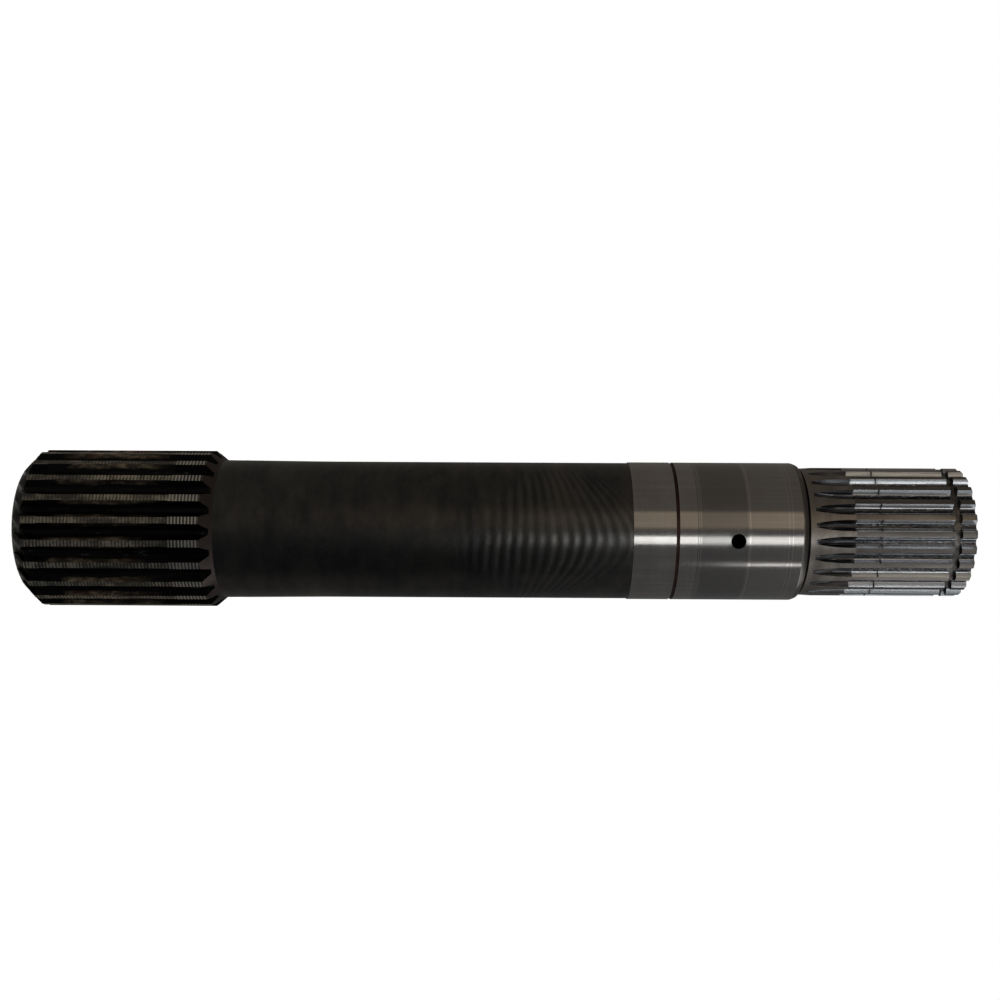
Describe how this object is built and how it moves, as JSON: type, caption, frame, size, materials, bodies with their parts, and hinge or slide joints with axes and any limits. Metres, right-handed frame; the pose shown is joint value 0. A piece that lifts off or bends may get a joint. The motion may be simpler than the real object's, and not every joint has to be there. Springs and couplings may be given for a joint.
{
  "type": "splined shaft",
  "caption": "Solid steel drive shaft with an involute spline at each end, a ground journal with a radial oil hole, and a retaining ring groove near the smaller end.",
  "frame": {"origin": "centre of the larger splined end's face, on which the shaft stands", "axes": "+Z along the shaft from the larger spline to the smaller one, -Y out of the radial oil hole"},
  "size_m": [0.094, 0.0942, 0.557],
  "materials": {
    "shaft_steel": "oil-darkened turned body, ground grey journal, bright worn spline flanks, brown deposits on the larger spline"
  },
  "bodies": {
    "root": {"splined_shaft": "shaft_steel"}
  },
  "joints": []
}
